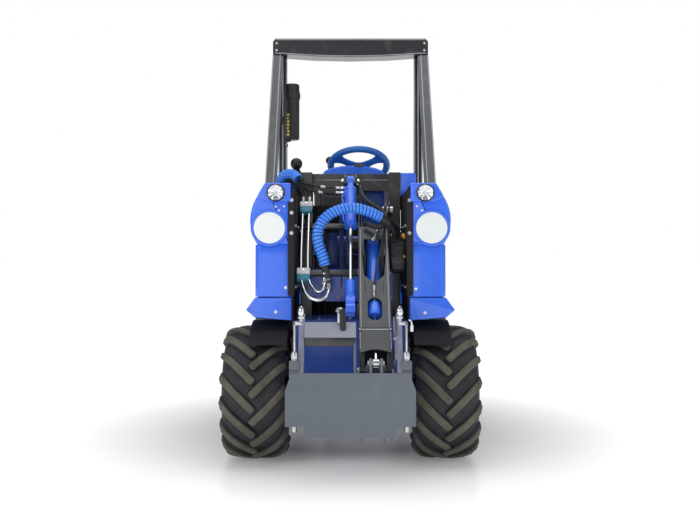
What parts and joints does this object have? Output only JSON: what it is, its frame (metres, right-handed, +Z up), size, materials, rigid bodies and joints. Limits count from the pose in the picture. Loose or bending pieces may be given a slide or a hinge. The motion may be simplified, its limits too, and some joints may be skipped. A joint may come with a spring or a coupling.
{
  "type": "articulated mini loader",
  "caption": "Compact loader with a centre-pivot frame, a telescopic boom beside the middle, a quick coupler, an open operator's seat under a roll bar and a hinged rear hood.",
  "frame": {"origin": "bottom centre of the whole loader's box, on the ground", "axes": "+Z up, -Y forwards towards the coupler, +X towards the boom's side"},
  "size_m": [1.07, 2.38, 1.9899],
  "materials": {
    "blue_paint": "gloss powder coat",
    "anthracite_paint": "satin powder coat",
    "boom_paint": "satin powder coat",
    "grey_paint": "satin powder coat",
    "black_paint": "satin",
    "rim_paint": "silver paint",
    "steel": "zinc plated",
    "chrome": "hard chrome",
    "engine_iron": "as cast, painted",
    "rubber": "matt",
    "hose_guard": "spiral wrapped",
    "tyre_rubber": "matt, dusty lugs",
    "black_plastic": "grained",
    "blue_plastic": "moulded",
    "white_panel": "smooth",
    "lamp_chrome": "polished reflector",
    "red_lens": "ribbed lens",
    "seat_vinyl": "grained vinyl"
  },
  "bodies": {
    "front_frame": {"front_chassis": "blue_paint", "front_axle": "black_paint", "pivot_pin": "steel", "tower": "anthracite_paint", "boom_pins": "steel", "pod_left": "blue_paint", "pod_right": "blue_paint", "mudguards": "black_plastic", "headlamps": "lamp_chrome", "round_panels": "white_panel", "platform": "anthracite_paint", "seat_base": "black_plastic", "seat_cushion": "seat_vinyl", "seat_backrest": "seat_vinyl", "dash_cowl": "blue_paint", "steering_column": "black_plastic", "side_console": "black_plastic", "joystick": "black_plastic", "rops_beam": "anthracite_paint", "rops_front_posts": "anthracite_paint", "rops_rear_posts": "anthracite_paint", "canister": "black_plastic", "footwell_panel": "blue_paint", "supply_hose": "hose_guard"},
    "steering_wheel": {"steering_wheel": "blue_plastic"},
    "boom": {"boom_outer": "boom_paint", "aux_pipes": "chrome", "coupling_block": "steel", "coupling_boot": "rubber", "hose_fittings": "rubber", "aux_hose": "hose_guard", "slot_hose": "rubber"},
    "boom_slide": {"boom_inner": "boom_paint", "boom_tip_pin": "steel"},
    "coupler": {"coupler_frame": "grey_paint", "lock_pins": "steel"},
    "lift_barrel": {"lift_barrel": "blue_paint"},
    "lift_rod": {"lift_rod": "chrome", "lift_rod_eye": "blue_paint"},
    "tilt_barrel": {"tilt_barrel": "blue_paint"},
    "tilt_rod": {"tilt_rod": "chrome"},
    "steer_barrel": {"steer_barrel": "blue_paint"},
    "steer_rod": {"steer_rod": "chrome"},
    "rear_frame": {"rear_chassis": "anthracite_paint", "rear_axle": "black_paint", "engine": "engine_iron", "counterweight": "anthracite_paint", "rear_lamps": "red_lens", "exhaust": "steel"},
    "hood": {"hood": "blue_paint", "hood_grille": "black_plastic"},
    "wheel_front_left": {"tyre_front_left": "tyre_rubber", "rim_front_left": "rim_paint"},
    "wheel_front_right": {"tyre_front_right": "tyre_rubber", "rim_front_right": "rim_paint"},
    "wheel_rear_left": {"tyre_rear_left": "tyre_rubber", "rim_rear_left": "rim_paint"},
    "wheel_rear_right": {"tyre_rear_right": "tyre_rubber", "rim_rear_right": "rim_paint"}
  },
  "joints": [
    {"name": "articulation", "type": "hinge", "parent": "front_frame", "child": "rear_frame", "pos_m": [0, -0.04, 0.38], "axis": [0, 0, 1], "range_deg": [-40, 40]},
    {"name": "boom_lift", "type": "hinge", "parent": "front_frame", "child": "boom", "pos_m": [0.099, -0.51, 1.08], "axis": [-1, 0, 0], "range_deg": [0, 80]},
    {"name": "telescope", "type": "slide", "parent": "boom", "child": "boom_slide", "axis": [0, -0.66, -0.7513], "range_m": [0, 0.38]},
    {"name": "coupler_tilt", "type": "hinge", "parent": "boom_slide", "child": "coupler", "pos_m": [0.099, -1.09014, 0.41964], "axis": [1, 0, 0], "range_deg": [-40, 50]},
    {"name": "hood_open", "type": "hinge", "parent": "rear_frame", "child": "hood", "pos_m": [0, 1.1, 0.655], "axis": [-1, 0, 0], "range_deg": [0, 60]},
    {"name": "steering_turn", "type": "hinge", "parent": "front_frame", "child": "steering_wheel", "pos_m": [0.04, -0.17, 1.315], "axis": [0, 0.5, 0.866], "continuous": true},
    {"name": "lift_swing", "type": "hinge", "parent": "front_frame", "child": "lift_barrel", "pos_m": [0, -0.54, 1.21], "axis": [-1, 0, 0], "range_deg": [0, 80]},
    {"name": "lift_extend", "type": "slide", "parent": "lift_barrel", "child": "lift_rod", "axis": [0, -0.581, -0.8139], "range_m": [-0.1724, 0]},
    {"name": "tilt_swing", "type": "hinge", "parent": "boom_slide", "child": "tilt_barrel", "pos_m": [0.099, -0.60057, 0.9466], "axis": [1, 0, 0], "range_deg": [-0.4, 0.5]},
    {"name": "tilt_extend", "type": "slide", "parent": "tilt_barrel", "child": "tilt_rod", "axis": [0, -0.7339, -0.6793], "range_m": [-0.034, 0.042]},
    {"name": "steer_swing", "type": "hinge", "parent": "front_frame", "child": "steer_barrel", "pos_m": [0.175, -0.25, 0.38], "axis": [0, 0, 1], "range_deg": [-21.2, 21.2]},
    {"name": "steer_extend", "type": "slide", "parent": "steer_barrel", "child": "steer_rod", "axis": [0, 1, 0], "range_m": [-0.12, 0.12]},
    {"name": "wheel_front_left_spin", "type": "hinge", "parent": "front_frame", "child": "wheel_front_left", "pos_m": [-0.4025, -0.69, 0.286], "axis": [1, 0, 0], "continuous": true},
    {"name": "wheel_front_right_spin", "type": "hinge", "parent": "front_frame", "child": "wheel_front_right", "pos_m": [0.4025, -0.69, 0.286], "axis": [1, 0, 0], "continuous": true},
    {"name": "wheel_rear_left_spin", "type": "hinge", "parent": "rear_frame", "child": "wheel_rear_left", "pos_m": [-0.4025, 0.61, 0.286], "axis": [1, 0, 0], "continuous": true},
    {"name": "wheel_rear_right_spin", "type": "hinge", "parent": "rear_frame", "child": "wheel_rear_right", "pos_m": [0.4025, 0.61, 0.286], "axis": [1, 0, 0], "continuous": true}
  ],
  "couplings": [
    {"joint": "lift_swing", "follows": "boom_lift", "ratio": 0.99384},
    {"joint": "lift_extend", "follows": "boom_lift", "m_per_rad": -0.12279},
    {"joint": "tilt_swing", "follows": "coupler_tilt", "ratio": 0.008},
    {"joint": "tilt_extend", "follows": "coupler_tilt", "m_per_rad": 0.0475},
    {"joint": "steer_swing", "follows": "articulation", "ratio": 0.525},
    {"joint": "steer_extend", "follows": "articulation", "m_per_rad": 0.1715}
  ]
}
